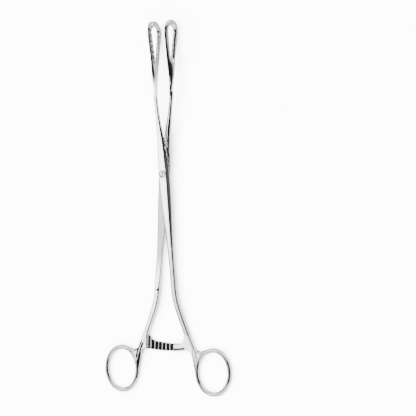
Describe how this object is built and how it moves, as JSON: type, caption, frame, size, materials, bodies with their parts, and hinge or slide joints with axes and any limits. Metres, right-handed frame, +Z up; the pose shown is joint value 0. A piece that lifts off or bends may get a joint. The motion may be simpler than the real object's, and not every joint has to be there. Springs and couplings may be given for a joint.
{
  "type": "ovum forceps",
  "caption": "Ring-handled grasping forceps with long slim shanks, oval fenestrated toothed jaws, a half-lapped screw joint and interlocking ratchet bars.",
  "frame": {"origin": "centre of the overall box on the table that the instrument lies on, +Z up", "axes": "+X from the finger rings to the jaw tips, +Y towards the front arm's jaw and the back arm's ring, +Z up from the table"},
  "size_m": [0.2812, 0.112, 0.0176],
  "materials": {
    "arm_steel": "satin polished",
    "screw_steel": "polished"
  },
  "bodies": {
    "back_half": {"back_arm": "arm_steel", "joint_screw": "screw_steel"},
    "front_half": {"front_arm": "arm_steel"}
  },
  "joints": [
    {"name": "jaw_pivot", "type": "hinge", "parent": "back_half", "child": "front_half", "pos_m": [0.02479, 0, 0.00605], "axis": [-0.0256, 0, 0.9997], "range_deg": [-5.5, 40]}
  ]
}
